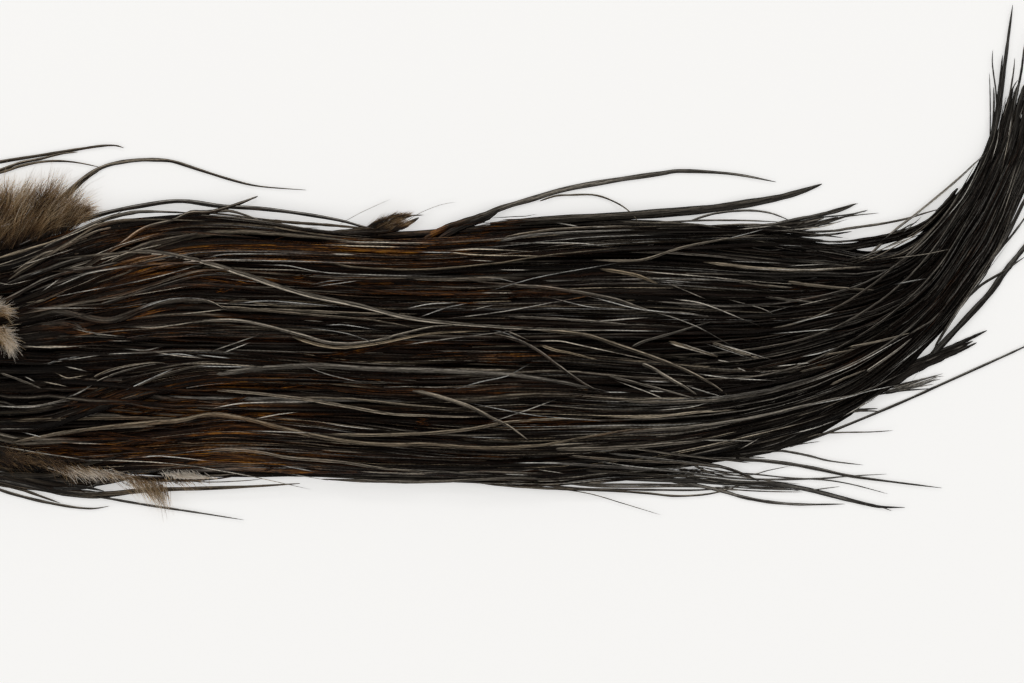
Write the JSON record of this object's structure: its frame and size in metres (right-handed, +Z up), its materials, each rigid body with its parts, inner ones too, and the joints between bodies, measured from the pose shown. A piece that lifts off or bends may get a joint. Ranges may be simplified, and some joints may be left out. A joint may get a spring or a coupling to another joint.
{
  "type": "rooster saddle hackle",
  "caption": "Dried patch of rooster skin with long narrow glossy black feathers that sweep to one side, laid flat, for tying flies or trimming.",
  "frame": {"origin": "centre of the flat underside of the skin", "axes": "+X along the feathers, away from the skin; +Y to the side that the tips sweep to; +Z up, out of the feathered side"},
  "size_m": [0.4076, 0.1532, 0.0118],
  "materials": {
    "dried_skin": "dried hide, dull, parchment tan",
    "black_feather": "glossy black barbs with brown and grey glints",
    "dark_brown_feather": "glossy dark brown barbs, orange brown where light comes through",
    "grey_brown_down": "matt soft down"
  },
  "bodies": {
    "root": {"skin": "dried_skin", "hackle_lock_1_01": "black_feather", "hackle_lock_1_02": "dark_brown_feather", "hackle_lock_1_03": "black_feather", "hackle_lock_1_04": "black_feather", "hackle_lock_1_05": "dark_brown_feather", "hackle_lock_1_06": "black_feather", "hackle_lock_1_07": "black_feather", "hackle_lock_1_08": "dark_brown_feather", "hackle_lock_1_09": "black_feather", "hackle_lock_1_10": "black_feather", "hackle_lock_1_11": "dark_brown_feather", "hackle_lock_1_12": "black_feather", "hackle_lock_2_01": "dark_brown_feather", "hackle_lock_2_02": "black_feather", "hackle_lock_2_03": "black_feather", "hackle_lock_2_04": "dark_brown_feather", "hackle_lock_2_05": "black_feather", "hackle_lock_2_06": "black_feather", "hackle_lock_2_07": "dark_brown_feather", "hackle_lock_2_08": "black_feather", "hackle_lock_2_09": "black_feather", "hackle_lock_2_10": "dark_brown_feather", "hackle_lock_2_11": "black_feather", "hackle_lock_3_01": "black_feather", "hackle_lock_3_02": "black_feather", "hackle_lock_3_03": "dark_brown_feather", "hackle_lock_3_04": "black_feather", "hackle_lock_3_05": "black_feather", "hackle_lock_3_06": "dark_brown_feather", "hackle_lock_3_07": "black_feather", "hackle_lock_3_08": "black_feather", "hackle_lock_3_09": "dark_brown_feather", "hackle_lock_4_01": "black_feather", "hackle_lock_4_02": "dark_brown_feather", "hackle_lock_4_03": "black_feather", "hackle_lock_4_04": "black_feather", "hackle_lock_4_05": "dark_brown_feather", "hackle_lock_4_06": "black_feather", "stray_left_outer": "black_feather", "stray_left_inner": "black_feather", "stray_left_arch": "black_feather", "stray_top_strand": "black_feather", "stray_top_wave": "black_feather", "stray_top_blade": "black_feather", "stray_top_tip": "black_feather", "stray_right_strand": "black_feather", "stray_right_blade": "black_feather", "stray_right_straight": "black_feather", "stray_low_long": "black_feather", "stray_low_forked": "black_feather", "stray_low_curl": "black_feather", "stray_left_low": "black_feather", "stray_left_lowest": "black_feather", "stray_low_edge": "black_feather", "down_tuft_flank": "grey_brown_down", "down_tuft_end": "grey_brown_down", "down_tuft_plume": "grey_brown_down"}
  },
  "joints": []
}
